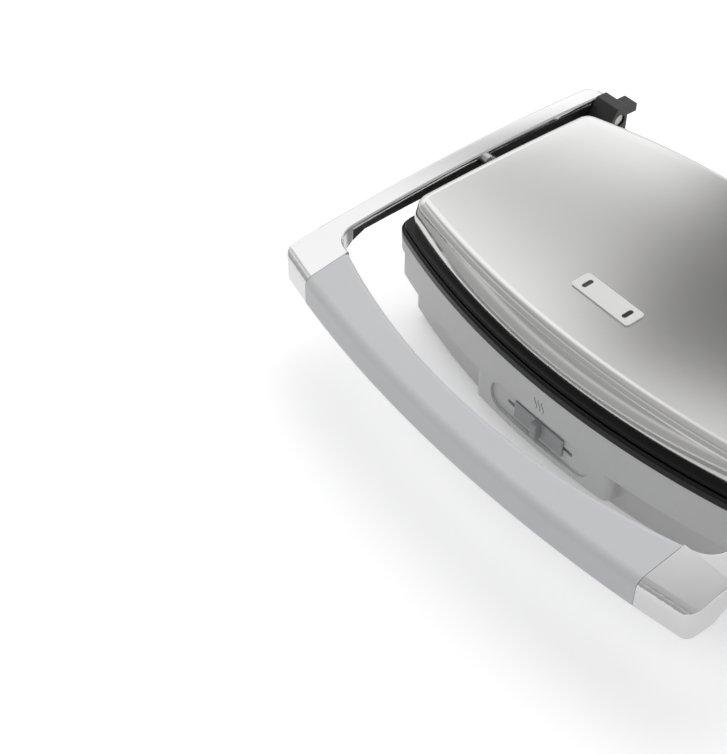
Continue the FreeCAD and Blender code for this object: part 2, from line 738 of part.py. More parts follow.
def lower_heat_reflector():
    return heat_pan(LOWER_FLANGE_Z, LOWER_PAN_FLOOR)


def upper_heat_reflector():
    return heat_pan(UPPER_FLANGE_Z, UPPER_PAN_FLOOR)


def thermostat():
    low = LOWER_PAN_FLOOR - THERMOSTAT_HEIGHT
    can = rod(THERMOSTAT_RADIUS, (0, LID_CENTRE, low), (0, LID_CENTRE, LOWER_PAN_FLOOR))
    reach = THERMOSTAT_RADIUS + THERMOSTAT_TAB_LENGTH
    top = LOWER_PAN_FLOOR - THERMOSTAT_TAB_DROP
    tabs = box((-reach, LID_CENTRE - THERMOSTAT_TAB_WIDTH / 2, top - PAN_SHEET),
               (reach, LID_CENTRE + THERMOSTAT_TAB_WIDTH / 2, top))
    return can.fuse(tabs).removeSplitter()


def thermal_fuse():
    y = LID_CENTRE + FUSE_OFFSET
    z = LOWER_PAN_FLOOR - FUSE_RADIUS - FIT
    reach = FUSE_LENGTH / 2 + FUSE_LEAD_LENGTH
    body = rod(FUSE_RADIUS, (-FUSE_LENGTH / 2, y, z), (FUSE_LENGTH / 2, y, z))
    return body.fuse(rod(FUSE_LEAD_RADIUS, (-reach, y, z), (reach, y, z))).removeSplitter()


def terminal_block():
    back = TUB.back - GLAND_LENGTH - OVERCUT
    front = back - TERMINAL_DEPTH
    z = HOUSING_Z + TERMINAL_HEIGHT / 2
    half = TERMINAL_WIDTH / 2
    block = box((-half, front, HOUSING_Z), (half, back, HOUSING_Z + TERMINAL_HEIGHT))
    pitch = TERMINAL_WIDTH / TERMINAL_POLES
    places = [(i - (TERMINAL_POLES - 1) / 2) * pitch for i in range(TERMINAL_POLES)]
    return block.cut([rod(TERMINAL_BORE, (x, front, z), (x, back, z)) for x in places])


# Lid

def dome(step):
    """Everything below the domed lid top, lowered by step."""
    return Part.makeCylinder(DOME_RADIUS - step, LID_WIDTH,
                             V(-LID_WIDTH / 2, DOME_Y, LID_TOP - DOME_RADIUS), V(1, 0, 0))


BEZEL_LOW = LID_TOP - bow_depth(DOME_RADIUS, DOME_Y - BEZEL_Y) - BEZEL_DEPTH
NECK_Z = CREASE_Z - CREASE_NECK


def apron(step):
    """Wall of the lid below its crease: it flares most at the front and turns upright at its foot."""
    top = LID.inset(step + CREASE_STEP)
    foot = APRON.inset(step)
    wires = []
    for i in range(APRON_STATIONS + 1):
        depth = i / APRON_STATIONS
        share = 1 - (1 - depth) ** APRON_TURN
        wires.append(top.towards(foot, share).wire(NECK_Z + (WALL_Z - NECK_Z) * depth))
    return Part.makeLoft(wires, True, False)


def lid_form(step, crease):
    """Closed lid body, every face moved inwards by step: domed top, rolled edge, crease and wall."""
    cap = LID.inset(step).prism(crease - ROLL_RADIUS, LID_TOP + OVERCUT).common(dome(step))
    cap = cap.makeFillet(ROLL_RADIUS - step, [e for e in cap.Edges if e.BoundBox.ZMin > crease + TOUCH])
    cap = cap.cut(box((-LID_WIDTH, LID_FRONT - LID_DEPTH, 0), (LID_WIDTH, LID_BACK + LID_DEPTH, crease)))
    neck = LID.inset(step + CREASE_STEP).prism(NECK_Z, crease)
    return cap.fuse([neck, apron(step)]).removeSplitter()


def bezel_prism(step, low, high):
    """Rounded rectangle in plan at the indicator, moved inwards by step."""
    w = BEZEL_WIDTH / 2 - step
    h = BEZEL_LENGTH / 2 - step
    corner = max(BEZEL_CORNER - step, FIT)
    corners = [(-w, BEZEL_Y - h, corner), (w, BEZEL_Y - h, corner),
               (w, BEZEL_Y + h, corner), (-w, BEZEL_Y + h, corner)]
    return plan_prism(corners, low, high)


def pivot_rod(radius, start, end):
    return rod(radius, (start, PIVOT_Y, PIVOT_Z), (end, PIVOT_Y, PIVOT_Z))


def lid_cover():
    shell = lid_form(0, CREASE_Z).cut(lid_form(LID_SHEET, CREASE_Z + LID_SHEET))
    window = bezel_prism(BEZEL_MARGIN - FIT, CREASE_Z, LID_TOP + OVERCUT)
    return shell.cut([window, pivot_rod(PIVOT_PIN_RADIUS + LOOSE, -ARM_OUTER, ARM_OUTER)])


def lid_frame():
    ring = RIM.inset(FRAME_INSET).rounded_prism(FRAME_Z, WALL_Z, FRAME_ROUND)
    window = PLATE_WINDOW.prism(FRAME_Z - OVERCUT, WALL_Z + OVERCUT)
    return ring.cut([window] + screw_rooms(PLATE_SCREWS))


def upper_plate_screws():
    return screw_group(PLATE_SCREWS)


def lens_solid(x, step, low, high):
    """Stadium window along Y, moved inwards by step."""
    w = LENS_WIDTH / 2 - step
    h = LENS_LENGTH / 2 - LENS_WIDTH / 2
    core = box((x - w, BEZEL_Y - h, low), (x + w, BEZEL_Y + h, high))
    front = rod(w, (x, BEZEL_Y - h, low), (x, BEZEL_Y - h, high))
    back = rod(w, (x, BEZEL_Y + h, low), (x, BEZEL_Y + h, high))
    return core.fuse([front, back]).removeSplitter()


def indicator_bezel():
    high = LID_TOP + OVERCUT
    face = dome(-BEZEL_PROUD)
    flange = bezel_prism(0, BEZEL_LOW, high).common(face).cut(dome(0))
    body = bezel_prism(BEZEL_MARGIN, BEZEL_LOW, high).common(face)
    windows = [lens_solid(x, 0, BEZEL_LOW - OVERCUT, high) for x in LENS_PLACES]
    return flange.fuse(body).removeSplitter().cut(windows)


def indicator_lenses():
    low = BEZEL_LOW + LAMP_HEIGHT + FIT
    high = LID_TOP + OVERCUT
    face = dome(LENS_RECESS - BEZEL_PROUD)
    return Part.makeCompound([lens_solid(x, FIT / 2, low, high).common(face) for x in LENS_PLACES])


def lamp_board():
    return bezel_prism(BEZEL_MARGIN, BEZEL_LOW - LAMP_BOARD, BEZEL_LOW)


def indicator_lamps():
    lamps = []
    for x in LENS_PLACES:
        lamps.append(rod(LAMP_RADIUS, (x, BEZEL_Y, BEZEL_LOW), (x, BEZEL_Y, BEZEL_LOW + LAMP_HEIGHT)))
    return Part.makeCompound(lamps)


def lid_carrier():
    """Left angle inside the lid that turns on the pivot pin and stands on the plate's flange."""
    side = -CARRIER_OUTER
    front = PIVOT_Y - CARRIER_LENGTH / 2
    back = PIVOT_Y + CARRIER_LENGTH / 2
    top = PIVOT_Z + PIVOT_PIN_RADIUS + CARRIER_CROWN
    upright = box((side, front, UPPER_FLANGE_Z), (side + CARRIER_THICKNESS, back, top))
    feet = []
    for start in (front, back - CARRIER_FOOT_LENGTH):
        end = (side + CARRIER_FOOT, start + CARRIER_FOOT_LENGTH, UPPER_FLANGE_Z + CARRIER_FOOT_THICKNESS)
        feet.append(box((side, start, UPPER_FLANGE_Z), end))
    return upright.fuse(feet).cut(pivot_rod(PIVOT_PIN_RADIUS + RUNNING, -ARM_OUTER, 0)).removeSplitter()


def lid_pivot_pin():
    """Left pivot pin: fixed in the arm, with a collar in the gap, turning in the lid's carrier."""
    start = -ARM_OUTER + ARM_SKIN + LOOSE
    shank = pivot_rod(PIVOT_PIN_RADIUS, start, -CARRIER_OUTER + CARRIER_THICKNESS + LOOSE)
    collar = pivot_rod(PIVOT_COLLAR_RADIUS, -ARM_INNER, -ARM_INNER + PIVOT_COLLAR_LENGTH)
    return shank.fuse(collar).removeSplitter()


# Grip

JOINT_FRONT = GRIP_FRONT + bow_depth(GRIP_FRONT_BOW, GRIP_END)
JOINT_INNER = GRIP_INNER + bow_depth(GRIP_INNER_BOW, GRIP_END)
JOINT_CREST = HINGE_Z - ARM_FRONT_DROP
JOINT_BROW = GRIP_BOTTOM + GRIP_END_BROW


def grip_section(x):
    """Rounded four-sided section of the grip; it swells from the middle towards the arms."""
    share = (x / GRIP_END) ** 2
    front = GRIP_FRONT + bow_depth(GRIP_FRONT_BOW, x)
    inner = GRIP_INNER + bow_depth(GRIP_INNER_BOW, x)
    brow = GRIP_BOTTOM + GRIP_BROW + (GRIP_END_BROW - GRIP_BROW) * share
    crest = GRIP_BOTTOM + GRIP_CREST + (JOINT_CREST - GRIP_BOTTOM - GRIP_CREST) * share
    corners = [(front, GRIP_BOTTOM, GRIP_BOTTOM_ROUND),
               (front + GRIP_LEAN * (1 - share), brow, GRIP_FRONT_ROUND),
               (inner, crest, GRIP_INNER_ROUND), (inner, GRIP_BOTTOM, GRIP_INNER_ROUND)]
    return rounded_wire(corners, lambda y, z: V(x, y, z))


def grip_form():
    reach = GRIP_END - GRIP_SEAM / 2
    stations = [reach * i / GRIP_STATIONS for i in range(-GRIP_STATIONS, GRIP_STATIONS + 1)]
    return Part.makeLoft([grip_section(x) for x in stations], True, False)


ROOM_FRONT = GRIP_FRONT + GRIP_WALL + GRIP_LEAN
ROOM_BACK = GRIP_INNER - GRIP_WALL


def grip_room(step, low, high):
    """Space inside the grip, open below, every side moved inwards by step."""
    return bowed_strip(GRIP_END - GRIP_WALL - step, ROOM_FRONT + step, GRIP_FRONT_BOW,
                       ROOM_BACK - step, GRIP_INNER_BOW, low, high)


SPINE_Y = (ROOM_FRONT + ROOM_BACK) / 2
SPINE_SAG = (bow_depth(GRIP_FRONT_BOW, GRIP_END) + bow_depth(GRIP_INNER_BOW, GRIP_END)) / 2
SPINE_BOW = (GRIP_END ** 2 + SPINE_SAG ** 2) / (SPINE_SAG * 2)
SPINE_LOW = GRIP_BOTTOM + GRIP_COVER
SPINE_TOP = SPINE_LOW + SPINE_HEIGHT
SPINE_END = GRIP_END + SPINE_SOCKET


def spine_place(x):
    return (x, SPINE_Y + bow_depth(SPINE_BOW, x))


def spine_strip(step):
    """Flat bar along the grip, every side moved outwards by step."""
    half = SPINE_WIDTH / 2
    return bowed_strip(SPINE_END + step, SPINE_Y - half - step, SPINE_BOW + half, SPINE_Y + half + step,
                       SPINE_BOW - half, SPINE_LOW - step, SPINE_TOP + step)


GRIP_SCREWS = screws([spine_place(x) for x in (-GRIP_SCREW_SPREAD, 0, GRIP_SCREW_SPREAD)],
                     GRIP_BOTTOM, GRIP_BOTTOM + GRIP_CAVITY)
SPINE_SCREWS = screws([spine_place(x) for x in (-GRIP_END - SPINE_SOCKET / 2, GRIP_END + SPINE_SOCKET / 2)],
                      GRIP_BOTTOM, SPINE_TOP)


def grip_upper():
    room = grip_room(0, GRIP_BOTTOM - OVERCUT, GRIP_BOTTOM + GRIP_CAVITY)
    bosses = [one.along(BOSS_RADIUS, SPINE_TOP, GRIP_BOTTOM + GRIP_CAVITY) for one in GRIP_SCREWS]
    hollow = room.fuse(spine_strip(FIT)).cut(bosses)
    return grip_form().cut(hollow).cut(screw_rooms(GRIP_SCREWS))


def grip_lower():
    return grip_room(FIT, GRIP_BOTTOM, GRIP_BOTTOM + GRIP_COVER).cut(screw_rooms(GRIP_SCREWS))


def grip_screws():
    return screw_group(GRIP_SCREWS)


def handle_spine():
    return spine_strip(0).cut(screw_rooms(GRIP_SCREWS + SPINE_SCREWS))


def spine_screws():
    return screw_group(SPINE_SCREWS)


# Arms

def arm_arc(drop):
    """Top line of an arm in side view, from the rear end forwards, lowered by drop."""
    rear = V(0, ARM_REAR, HINGE_Z + ARM_REAR_RISE - drop)
    middle = V(0, (JOINT_INNER + ARM_REAR) / 2, HINGE_Z + ARM_MIDDLE_RISE - drop)
    return Part.Arc(rear, middle, V(0, JOINT_INNER, JOINT_CREST - drop))


def arm_point(drop, y):
    """Point of an arm's top line, lowered by drop, at one Y station."""
    circle = arm_arc(drop).toShape().Curve
    rise = math.sqrt(circle.Radius ** 2 - (y - circle.Center.y) ** 2)
    return V(0, y, circle.Center.z + rise)


def arm_slab(drop):
    """Arm in side view down to the grip's bottom, its top lowered by drop."""
    front_low = V(0, JOINT_INNER, GRIP_BOTTOM)
    rear_low = V(0, ARM_REAR, GRIP_BOTTOM)
    edges = [arm_arc(drop).toShape(), Part.makeLine(arm_point(drop, JOINT_INNER), front_low),
             Part.makeLine(front_low, rear_low), Part.makeLine(rear_low, arm_point(drop, ARM_REAR))]
    return side_prism(edges, -ARM_OUTER, -GRIP_END)


def arm_underside():
    """Everything below an arm: an arch behind the corner block, then a line that falls to the rear."""
    heel = V(0, JOINT_INNER - ARM_ARCH_START, GRIP_BOTTOM)
    crown = arm_point(ARM_CROWN_HEIGHT, JOINT_INNER + ARM_ARCH_END)
    chord = crown - heel
    across = V(0, -chord.z, chord.y)
    across.normalize()
    bend = (heel + crown) * 0.5 + across * ARM_ARCH_BULGE
    middle = arm_point(ARM_MIDDLE_HEIGHT, (crown.y + ARM_REAR) / 2)
    rear = arm_point(ARM_HEIGHT, ARM_REAR)
    beyond = V(0, ARM_REAR, 0)
    below = V(0, heel.y, 0)
    edges = [Part.Arc(heel, bend, crown).toShape(), Part.Arc(crown, middle, rear).toShape(),
             Part.makeLine(rear, beyond), Part.makeLine(beyond, below), Part.makeLine(below, heel)]
    return side_prism(edges, -ARM_OUTER, -GRIP_END)


CORNER_FRONT = GRIP_FRONT + bow_depth(GRIP_FRONT_BOW, ARM_OUTER)


def block_section(x, front):
    """Section of a corner block, the same as the grip's end section but for its front station."""
    corners = [(front, GRIP_BOTTOM, GRIP_BOTTOM_ROUND), (front, JOINT_BROW, GRIP_FRONT_ROUND),
               (JOINT_INNER, JOINT_CREST, 0), (JOINT_INNER, GRIP_BOTTOM, 0)]
    return rounded_wire(corners, lambda y, z: V(x, y, z))


def arm_form():
    """Left arm with its corner block, as one closed body."""
    seam = -GRIP_END - GRIP_SEAM / 2
    corners = [(-ARM_OUTER, ARM_REAR, ARM_CORNER), (-ARM_OUTER, CORNER_FRONT, ARM_CORNER),
               (seam, JOINT_FRONT, 0), (seam, JOINT_INNER, 0),
               (-ARM_INNER, JOINT_INNER, ARM_INNER_FILLET), (-ARM_INNER, ARM_REAR, 0)]
    plan = plan_prism(corners, 0, HINGE_Z + ARM_REAR_RISE + OVERCUT)
    ends = [block_section(-ARM_OUTER, CORNER_FRONT), block_section(seam, JOINT_FRONT)]
    block = Part.makeLoft(ends, True, True)
    return block.fuse(arm_slab(0)).cut(arm_underside()).common(plan).removeSplitter()


def arm_core_form():
    channel = box((-ARM_OUTER + ARM_SKIN, JOINT_INNER + ARM_INNER_FILLET, 0),
                  (-ARM_INNER, HINGE_Y - HINGE_BUSH_RADIUS - ARM_SKIN, HINGE_Z + ARM_REAR_RISE))
    return arm_slab(ARM_TOP_SKIN).cut(arm_underside()).common(channel)


def arm_cover():
    """Left metal arm: skin along its outer side and top, solid corner block and hinge end."""
    bush = hinge_rod(HINGE_BUSH_RADIUS, -ARM_OUTER + HINGE_SKIN, 0)
    pin = pivot_rod(PIVOT_PIN_RADIUS + RUNNING, -ARM_OUTER + ARM_SKIN, 0)
    return arm_form().cut([arm_core_form(), spine_strip(FIT), bush, pin] + screw_rooms(SPINE_SCREWS[:1]))


def arm_core():
    return arm_core_form().cut(pivot_rod(PIVOT_PIN_RADIUS + RUNNING, -ARM_OUTER, 0))


def hinge_bush():
    start = -ARM_OUTER + HINGE_SKIN
    sleeve = hinge_rod(HINGE_BUSH_RADIUS - RUNNING, start, -ARM_INNER)
    return sleeve.cut(hinge_rod(HINGE_PIN_RADIUS + RUNNING, start, -ARM_INNER))


def hinge_bushes():
    left = hinge_bush()
    return Part.makeCompound([left, mirrored(left)])


# Every piece of the object, named after its function
SINGLE_PIECES = (
    base_housing, base_rim, bottom_cover, rubber_feet, base_rim_screws, bottom_cover_screws,
    hinge_bracket_screws, cord_gland, control_fascia, slider_knob, slide_switch,
    lower_cooking_plate, lower_heating_element, lower_heat_reflector,
    thermostat, thermal_fuse, terminal_block, lid_cover, lid_frame,
    upper_cooking_plate, upper_heating_element, upper_heat_reflector, upper_plate_screws,
    indicator_bezel, indicator_lenses, indicator_lamps, lamp_board,
    grip_upper, grip_lower, grip_screws, handle_spine, spine_screws, hinge_bushes,
)
PAIRED_PIECES = (hinge_bracket, hinge_pin, lid_carrier, lid_pivot_pin, arm_cover, arm_core)


def build():
    pieces = {}
    for make in SINGLE_PIECES:
        pieces[make.__name__] = make()
    for make in PAIRED_PIECES:
        left = make()
        pieces[make.__name__ + "_left"] = left
        pieces[make.__name__ + "_right"] = mirrored(left)
    return pieces


def export(pieces):
    os.makedirs("parts", exist_ok=True)
    for name, shape in pieces.items():
        shape.exportStep(os.path.join("parts", name + ".step"))
        extent = shape.BoundBox
        print("%-24s valid %s solids %d x %.1f..%.1f y %.1f..%.1f z %.1f..%.1f" % (
            name, shape.isValid(), len(shape.Solids), extent.XMin, extent.XMax,
            extent.YMin, extent.YMax, extent.ZMin, extent.ZMax))
    print("handle hinge at y %.3f z %.3f" % (HINGE_Y, HINGE_Z))
    print("lid pivot at y %.3f z %.3f" % (PIVOT_Y, PIVOT_Z))


export(build())
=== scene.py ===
import json
import math
from collections import namedtuple

import bmesh
import bpy
from mathutils import Matrix, Vector


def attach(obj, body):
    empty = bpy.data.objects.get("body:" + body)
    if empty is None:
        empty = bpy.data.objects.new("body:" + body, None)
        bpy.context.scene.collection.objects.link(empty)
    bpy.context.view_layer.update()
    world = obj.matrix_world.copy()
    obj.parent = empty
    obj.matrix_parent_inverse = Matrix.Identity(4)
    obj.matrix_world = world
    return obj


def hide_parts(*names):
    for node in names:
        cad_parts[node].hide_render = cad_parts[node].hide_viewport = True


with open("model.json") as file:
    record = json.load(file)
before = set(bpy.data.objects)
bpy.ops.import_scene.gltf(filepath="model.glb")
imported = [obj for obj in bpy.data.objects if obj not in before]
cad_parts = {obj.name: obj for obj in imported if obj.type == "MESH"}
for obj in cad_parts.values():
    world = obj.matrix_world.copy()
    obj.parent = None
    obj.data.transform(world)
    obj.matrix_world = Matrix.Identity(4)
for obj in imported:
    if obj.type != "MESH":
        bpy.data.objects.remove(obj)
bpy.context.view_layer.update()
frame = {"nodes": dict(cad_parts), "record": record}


# Helpers for pieces

def new_piece(name, data):
    """Object with the given data, linked to the scene."""
    piece = bpy.data.objects.new(name, data)
    bpy.context.scene.collection.objects.link(piece)
    return piece


def new_mesh(name, form):
    """Mesh data made from a form, which is then let go."""
    data = bpy.data.meshes.new(name)
    form.to_mesh(data)
    form.free()
    return data


def settle(piece):
    """Turns a piece's modifiers into plain geometry."""
    shown = piece.evaluated_get(bpy.context.evaluated_depsgraph_get())
    data = bpy.data.meshes.new_from_object(shown)
    before = piece.data
    piece.modifiers.clear()
    piece.data = data
    bpy.data.meshes.remove(before)
    data.name = piece.name


def aim(piece, place, way):
    """Puts a camera or a lamp at a place, looking along a direction."""
    piece.location = place
    piece.rotation_mode = "QUATERNION"
    piece.rotation_quaternion = way.to_track_quat("-Z", "Y")


# Camera as fitted to the photograph, whose longer side is its height
IMAGE_HEIGHT = 754
FOCAL_PIXELS = 1460.76
SENSOR = 36.0
CAMERA_PLACE = (0.44965, -0.53689, 0.68653)
CAMERA_AZIMUTH = math.radians(53.470)
CAMERA_ELEVATION = math.radians(44.137)
CLIP_START = 0.01
CLIP_END = 50.0


def make_camera():
    level = math.cos(CAMERA_ELEVATION)
    back = Vector((math.sin(CAMERA_AZIMUTH) * level, -math.cos(CAMERA_AZIMUTH) * level,
                   math.sin(CAMERA_ELEVATION)))
    data = bpy.data.cameras.new("camera")
    data.sensor_width = SENSOR
    data.lens = FOCAL_PIXELS * SENSOR / IMAGE_HEIGHT
    data.clip_start = CLIP_START
    data.clip_end = CLIP_END
    camera = new_piece("camera", data)
    aim(camera, CAMERA_PLACE, -back)
    bpy.context.scene.camera = camera


# Helper for node trees; noise lies mostly within its range
NOISE_RANGE = (0.3, 0.7)


class Nodes:
    """Small helper for building a node tree."""

    def __init__(self, tree):
        self.tree = tree
        tree.nodes.clear()

    def add(self, kind, **settings):
        node = self.tree.nodes.new(kind)
        for key, value in settings.items():
            setattr(node, key, value)
        return node

    def link(self, source, target):
        self.tree.links.new(source, target)

    def place(self, scale):
        """Object coordinates stretched by scale."""
        coordinates = self.add("ShaderNodeTexCoord")
        mapping = self.add("ShaderNodeMapping")
        mapping.inputs["Scale"].default_value = scale
        self.link(coordinates.outputs["Object"], mapping.inputs["Vector"])
        return mapping.outputs["Vector"]

    def noise(self, scale, detail):
        """Noise of about one metre over scale, stretched where scale differs by axis."""
        texture = self.add("ShaderNodeTexNoise")
        texture.inputs["Scale"].default_value = 1.0
        texture.inputs["Detail"].default_value = detail
        self.link(self.place(scale), texture.inputs["Vector"])
        return texture.outputs["Fac"]

    def spread(self, value, low, high, source=NOISE_RANGE, kind="LINEAR"):
        """Value moved from the source range to low and high."""
        node = self.add("ShaderNodeMapRange", interpolation_type=kind)
        node.inputs["From Min"].default_value = source[0]
        node.inputs["From Max"].default_value = source[1]
        node.inputs["To Min"].default_value = low
        node.inputs["To Max"].default_value = high
        self.link(value, node.inputs["Value"])
        return node.outputs["Result"]

    def step(self, value, start, end):
        """Smooth rise from 0 at start to 1 at end."""
        if start < end:
            return self.spread(value, 0.0, 1.0, (start, end), "SMOOTHSTEP")
        return self.spread(value, 1.0, 0.0, (end, start), "SMOOTHSTEP")

    def combine(self, operation, total, *others):
        """Values joined one after another by a maths operation."""
        for other in others:
            node = self.add("ShaderNodeMath", operation=operation)
            self.link(total, node.inputs[0])
            self.link(other, node.inputs[1])
            total = node.outputs["Value"]
        return total

    def facing(self, way, goal):
        """How far a direction points towards a fixed one."""
        node = self.add("ShaderNodeVectorMath", operation="DOT_PRODUCT")
        node.inputs[1].default_value = goal
        self.link(way, node.inputs[0])
        return node.outputs["Value"]

    def towards(self, value, goal, share):
        """Value moved by a share of the way to a fixed goal."""
        node = self.add("ShaderNodeMix", data_type="FLOAT")
        node.inputs["B"].default_value = goal
        self.link(value, node.inputs["A"])
        self.link(share, node.inputs["Factor"])
        return node.outputs["Result"]

    def tint(self, factor, first, second):
        """Colour between first and second."""
        node = self.add("ShaderNodeMix", data_type="RGBA")
        node.inputs["A"].default_value = (*first, 1.0)
        node.inputs["B"].default_value = (*second, 1.0)
        self.link(factor, node.inputs["Factor"])
        return node.outputs["Result"]

    def bump(self, height, strength, distance):
        node = self.add("ShaderNodeBump")
        node.inputs["Strength"].default_value = strength
        node.inputs["Distance"].default_value = distance
        self.link(height, node.inputs["Height"])
        return node.outputs["Normal"]


# Materials: mottling of the colour, then how the fine texture moves gloss and height
CLOUD_DETAIL = 3.0
PLASTIC_CLOUD = (14.0, 14.0, 14.0)
PLASTIC_TINTS = (0.97, 1.03)
PLASTIC_DETAIL = 4.0
PLASTIC_UNEVEN = 0.05
PLASTIC_BUMP = 0.25
COAT_ROUGHNESS = 0.08
METAL_CLOUD = (9.0, 9.0, 9.0)
METAL_TINTS = (0.98, 1.015)
METAL_DETAIL = 3.0
METAL_UNEVEN = 0.035
METAL_BUMP = 0.1


def mottled(name, colour, cloud, tints):
    """New material with a Principled shader of uneven colour: the material, its nodes and the shader."""
    material = bpy.data.materials.new(name)
    material.use_nodes = True
    nodes = Nodes(material.node_tree)
    shader = nodes.add("ShaderNodeBsdfPrincipled")
    output = nodes.add("ShaderNodeOutputMaterial")
    nodes.link(shader.outputs["BSDF"], output.inputs["Surface"])
    dark, pale = (tuple(min(1.0, channel * tint) for channel in colour) for tint in tints)
    colours = nodes.tint(nodes.noise(cloud, CLOUD_DETAIL), dark, pale)
    nodes.link(colours, shader.inputs["Base Color"])
    return material, nodes, shader


def plastic(name, colour, roughness, grain, grain_height, coat=0.0, specular=0.5):
    """Moulded plastic: slight mottling, fine texture and uneven gloss."""
    material, nodes, shader = mottled(name, colour, PLASTIC_CLOUD, PLASTIC_TINTS)
    fine = nodes.noise((grain, grain, grain), PLASTIC_DETAIL)
    gloss = nodes.spread(fine, roughness - PLASTIC_UNEVEN, roughness + PLASTIC_UNEVEN)
    nodes.link(gloss, shader.inputs["Roughness"])
    nodes.link(nodes.bump(fine, PLASTIC_BUMP, grain_height), shader.inputs["Normal"])
    shader.inputs["Specular IOR Level"].default_value = specular
    shader.inputs["Coat Weight"].default_value = coat
    shader.inputs["Coat Roughness"].default_value = COAT_ROUGHNESS
    return material


def metal(name, colour, roughness, grain, grain_height, uneven=METAL_UNEVEN):
    """Bare metal with a drawn grain: fine streaks in gloss and height."""
    material, nodes, shader = mottled(name, colour, METAL_CLOUD, METAL_TINTS)
    streak = nodes.noise(grain, METAL_DETAIL)
    gloss = nodes.spread(streak, roughness - uneven, roughness + uneven)
    nodes.link(gloss, shader.inputs["Roughness"])
    nodes.link(nodes.bump(streak, METAL_BUMP, grain_height), shader.inputs["Normal"])
    shader.inputs["Metallic"].default_value = 1.0
    return material


# Each slot's colour, roughness, grain (repeats per metre) and height of the grain in metres
MATERIALS = {
    "lid_steel": metal("lid_steel", (0.62, 0.617, 0.606), 0.16, (160.0, 2600.0, 2600.0), 0.0000008,
                       uneven=0.012),
    "arm_metal": metal("arm_metal", (0.62, 0.62, 0.62), 0.15, (900.0, 40.0, 900.0), 0.000004,
                       uneven=0.02),
    "housing_grey": plastic("housing_grey", (0.58, 0.585, 0.58), 0.42, 1500.0, 0.00008),
    "grip_grey": plastic("grip_grey", (0.60, 0.61, 0.625), 0.5, 1800.0, 0.00008),
    "rim_black": plastic("rim_black", (0.004, 0.004, 0.004), 0.16, 900.0, 0.00003, specular=0.22),
    "bracket_black": plastic("bracket_black", (0.012, 0.012, 0.0125), 0.42, 1500.0, 0.00008),
    "dark_plastic": plastic("dark_plastic", (0.06, 0.06, 0.063), 0.5, 1200.0, 0.0001),
    "plate_coating": plastic("plate_coating", (0.085, 0.085, 0.088), 0.32, 2200.0, 0.00008, coat=0.2),
    "heater_sheath": metal("heater_sheath", (0.36, 0.34, 0.31), 0.45, (300.0, 300.0, 300.0), 0.00006),
    "reflector_sheet": metal("reflector_sheet", (0.72, 0.72, 0.71), 0.35, (30.0, 900.0, 900.0), 0.00004),
    "ceramic_white": plastic("ceramic_white", (0.78, 0.77, 0.73), 0.3, 900.0, 0.00006),
    "bezel_white": plastic("bezel_white", (0.74, 0.74, 0.73), 0.32, 1400.0, 0.00005),
    "lens_dark": plastic("lens_dark", (0.02, 0.018, 0.018), 0.12, 600.0, 0.00002, coat=0.3),
    "lamp_glass": plastic("lamp_glass", (0.75, 0.36, 0.18), 0.15, 600.0, 0.00002),
    "board_green": plastic("board_green", (0.03, 0.16, 0.07), 0.35, 900.0, 0.00004),
    "foot_rubber": plastic("foot_rubber", (0.03, 0.03, 0.03), 0.75, 1600.0, 0.00015),
    "fastener_steel": metal("fastener_steel", (0.52, 0.52, 0.5), 0.32, (500.0, 500.0, 500.0), 0.00004),
    "pin_steel": metal("pin_steel", (0.4, 0.4, 0.39), 0.28, (600.0, 600.0, 600.0), 0.00003),
    "bush_brass": metal("bush_brass", (0.72, 0.54, 0.24), 0.3, (500.0, 500.0, 500.0), 0.00004),
}
KNOB_GREY = plastic("knob_grey", (0.32, 0.325, 0.33), 0.42, 1500.0, 0.00006)
MARK_GREY = plastic("mark_grey", (0.23, 0.235, 0.24), 0.5, 1500.0, 0.00005)
OTHER_GREYS = {"bottom_cover": MATERIALS["housing_grey"], "slider_knob": KNOB_GREY}


def dress_nodes():
    """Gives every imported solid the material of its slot, or another grey where the photo shows one."""
    for part in frame["record"]["subparts"]:
        material = OTHER_GREYS.get(part["node"], MATERIALS[part["material_slot"]])
        for slot in frame["nodes"][part["node"]].material_slots:
            slot.material = material


# Pieces shown in place of a node, shaded smoothly between their sharp edges
SHARP_ANGLE = math.radians(32.0)


def stand_in(piece, node, body, slot):
    """Shows a piece in place of a node, with smooth shading, riding on the node's body."""
    piece.data.shade_smooth()
    piece.data.set_sharp_from_angle(angle=SHARP_ANGLE)
    even = piece.modifiers.new("even", "WEIGHTED_NORMAL")
    even.keep_sharp = True
    piece.data.materials.clear()
    piece.data.materials.append(MATERIALS[slot])
    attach(piece, body)
    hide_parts(node)


# Arms with softly rounded upper edges, full on the outside and less on the inside
OUTER_ROUND = 0.0034
INNER_SHARE = 0.45
ROUND_STEPS = 5
FLAT_ANGLE = math.radians(0.2)
EDGE_ANGLE = math.radians(22.0)
WELD = 0.000001
# The blocks' front corners and the seam to the grip stay sharp
CORNER_START = -0.1225
SEAM_REACH = 0.1528
SEAM_FACING = 0.9
# Parts of a face's normal that tell a wall, a top and an inner wall
WALL_RISE = 0.05
TOP_RISE = 0.15
INNER_REARWARD = 0.5
INNER_FACING = 0.3


def edge_share(edge):
    """Share of the full rounding that an edge between an arm's top and its walls gets."""
    if len(edge.link_faces) != 2 or edge.calc_face_angle() < EDGE_ANGLE:
        return 0.0
    if min(corner.co.y for corner in edge.verts) < CORNER_START:
        return 0.0
    wall, top = sorted(edge.link_faces, key=lambda face: face.normal.z)
    if abs(wall.normal.z) > WALL_RISE or top.normal.z < TOP_RISE:
        return 0.0
    reach = max(abs(corner.co.x) for corner in edge.verts)
    if reach < SEAM_REACH and abs(wall.normal.x) > SEAM_FACING:
        return 0.0
    inside = Vector((math.copysign(1.0, -edge.verts[0].co.x), INNER_REARWARD, 0.0))
    return INNER_SHARE if wall.normal.dot(inside) > INNER_FACING else 1.0


